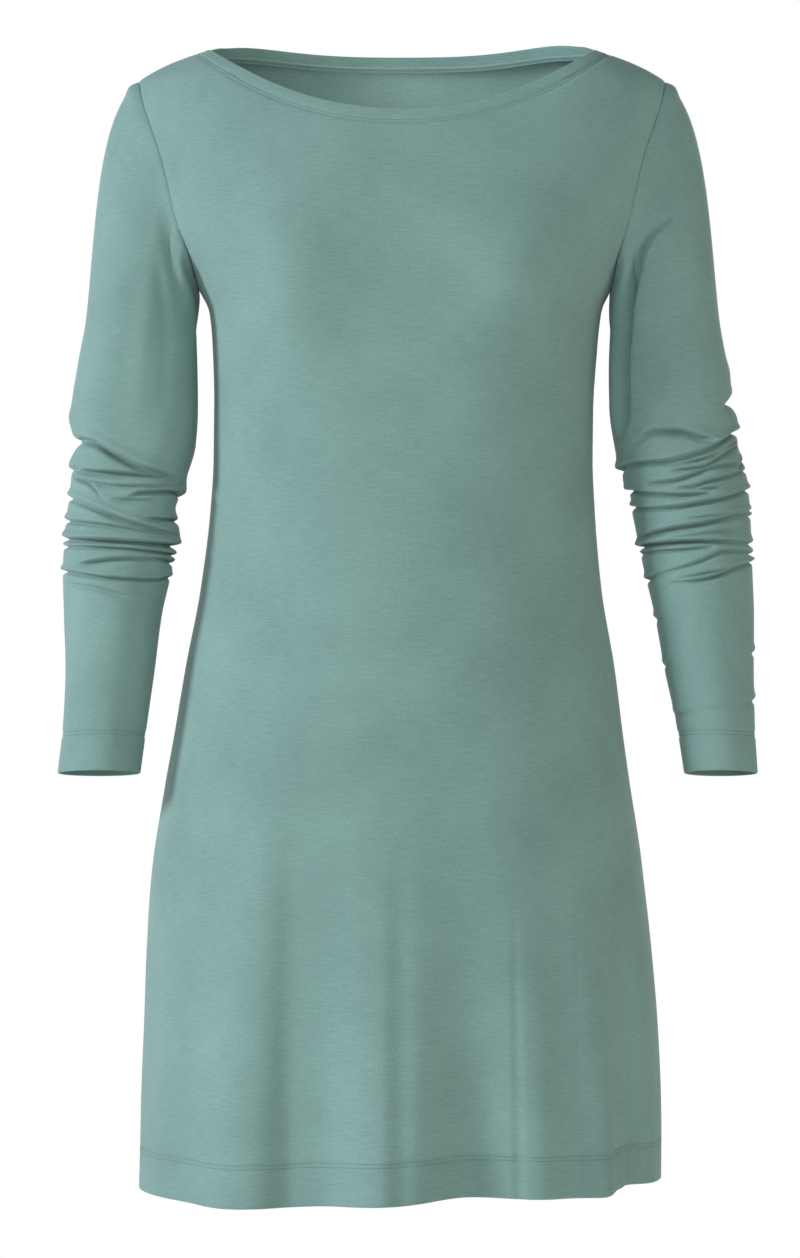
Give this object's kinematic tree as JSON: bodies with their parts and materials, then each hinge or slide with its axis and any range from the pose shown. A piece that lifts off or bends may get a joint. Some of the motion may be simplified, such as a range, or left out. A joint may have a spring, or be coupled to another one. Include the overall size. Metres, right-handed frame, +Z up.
{
  "type": "long-sleeved jersey dress",
  "caption": "Close-fitting boat-neck jersey mini dress with long pushed-up sleeves and a softly folded A-line skirt, hollow and filled out as worn.",
  "frame": {"origin": "midway between the two neck points, where the shoulder seams meet the neckline; the wearer's shoulders hold the dress there", "axes": "+Z up, the front faces -Y, +X is the wearer's left"},
  "size_m": [0.528, 0.303, 0.8725],
  "materials": {
    "jersey_front": "fine single jersey knit, sage green, soft low sheen",
    "jersey_back": "fine single jersey knit, sage green, soft low sheen",
    "jersey_sleeves": "fine single jersey knit, sage green, soft low sheen",
    "thread": "spun polyester sewing thread, tone on tone"
  },
  "bodies": {
    "root": {"front": "jersey_front", "back": "jersey_back", "sleeve_left": "jersey_sleeves", "sleeve_right": "jersey_sleeves"}
  },
  "joints": []
}
